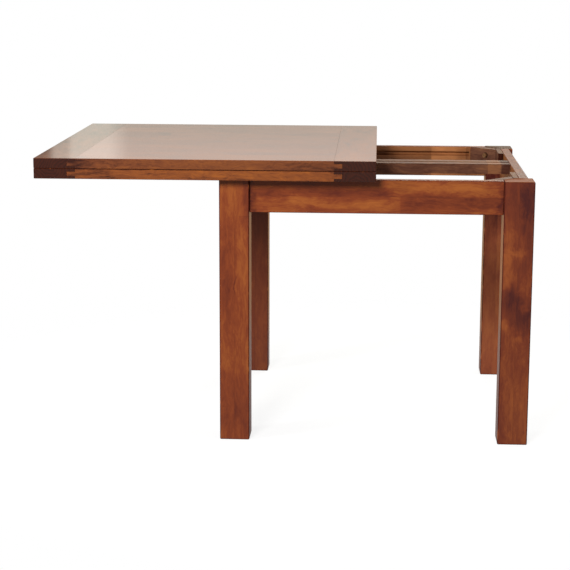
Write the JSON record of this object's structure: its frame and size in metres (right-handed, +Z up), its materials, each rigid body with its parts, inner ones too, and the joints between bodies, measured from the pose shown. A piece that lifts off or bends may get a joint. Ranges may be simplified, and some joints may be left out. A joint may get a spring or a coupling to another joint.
{
  "type": "extending dining table",
  "caption": "Square extending dining table: square legs and a railed frame carry a folded top that slides aside and hinges open to double the table's length.",
  "frame": {"origin": "on the floor, under the middle of the table's box with the top slid to the left and folded", "axes": "+X along the slide, towards the open half of the frame; +Y to the back; +Z up"},
  "size_m": [1.3158, 0.9, 0.7686],
  "materials": {
    "leg_wood": "chestnut stain under gloss lacquer",
    "rail_wood": "chestnut stain under gloss lacquer",
    "inner_wood": "chestnut stain under thin lacquer",
    "leaf_panel_wood": "chestnut stain under gloss lacquer",
    "leaf_end_board_wood": "chestnut stain under gloss lacquer",
    "hinge_brass": "satin",
    "plated_steel": "zinc plated"
  },
  "bodies": {
    "base": {"back_rail": "rail_wood", "brace_block_back_left": "inner_wood", "brace_block_back_right": "inner_wood", "brace_block_front_left": "inner_wood", "brace_block_front_right": "inner_wood", "centre_runner": "inner_wood", "corner_brace_back_left": "inner_wood", "corner_brace_back_right": "inner_wood", "corner_brace_front_left": "inner_wood", "corner_brace_front_right": "inner_wood", "front_rail": "rail_wood", "left_rail": "rail_wood", "leg_back_left": "leg_wood", "leg_back_right": "leg_wood", "leg_bolt_back_left": "plated_steel", "leg_bolt_back_right": "plated_steel", "leg_bolt_front_left": "plated_steel", "leg_bolt_front_right": "plated_steel", "leg_front_left": "leg_wood", "leg_front_right": "leg_wood", "leg_washer_back_left": "plated_steel", "leg_washer_back_right": "plated_steel", "leg_washer_front_left": "plated_steel", "leg_washer_front_right": "plated_steel", "right_rail": "rail_wood"},
    "lower_leaf": {"centre_guide": "inner_wood", "guide_screw_left": "plated_steel", "guide_screw_right": "plated_steel", "hinge_lower_back": "hinge_brass", "hinge_lower_front": "hinge_brass", "hinge_lower_middle": "hinge_brass", "hinge_pin_lower_back": "hinge_brass", "hinge_pin_lower_front": "hinge_brass", "hinge_pin_lower_middle": "hinge_brass", "lower_end_board_left": "leaf_end_board_wood", "lower_end_board_right": "leaf_end_board_wood", "lower_panel": "leaf_panel_wood", "slide_block_back": "inner_wood", "slide_block_front": "inner_wood", "slide_screw_back_left": "plated_steel", "slide_screw_back_right": "plated_steel", "slide_screw_front_left": "plated_steel", "slide_screw_front_right": "plated_steel"},
    "hinge_links": {"hinge_link_back": "hinge_brass", "hinge_link_front": "hinge_brass", "hinge_link_middle": "hinge_brass"},
    "upper_leaf": {"hinge_pin_upper_back": "hinge_brass", "hinge_pin_upper_front": "hinge_brass", "hinge_pin_upper_middle": "hinge_brass", "hinge_upper_back": "hinge_brass", "hinge_upper_front": "hinge_brass", "hinge_upper_middle": "hinge_brass", "upper_end_board_left": "leaf_end_board_wood", "upper_end_board_right": "leaf_end_board_wood", "upper_panel": "leaf_panel_wood"}
  },
  "joints": [
    {"name": "top_slide", "type": "slide", "parent": "base", "child": "lower_leaf", "axis": [1, 0, 0], "range_m": [0, 0.45]},
    {"name": "link_turn", "type": "hinge", "parent": "lower_leaf", "child": "hinge_links", "pos_m": [0.2389, 0, 0.73745], "axis": [0, 1, 0], "range_deg": [0, 90]},
    {"name": "leaf_fold", "type": "hinge", "parent": "hinge_links", "child": "upper_leaf", "pos_m": [0.2389, 0, 0.74545], "axis": [0, 1, 0], "range_deg": [0, 90]}
  ]
}
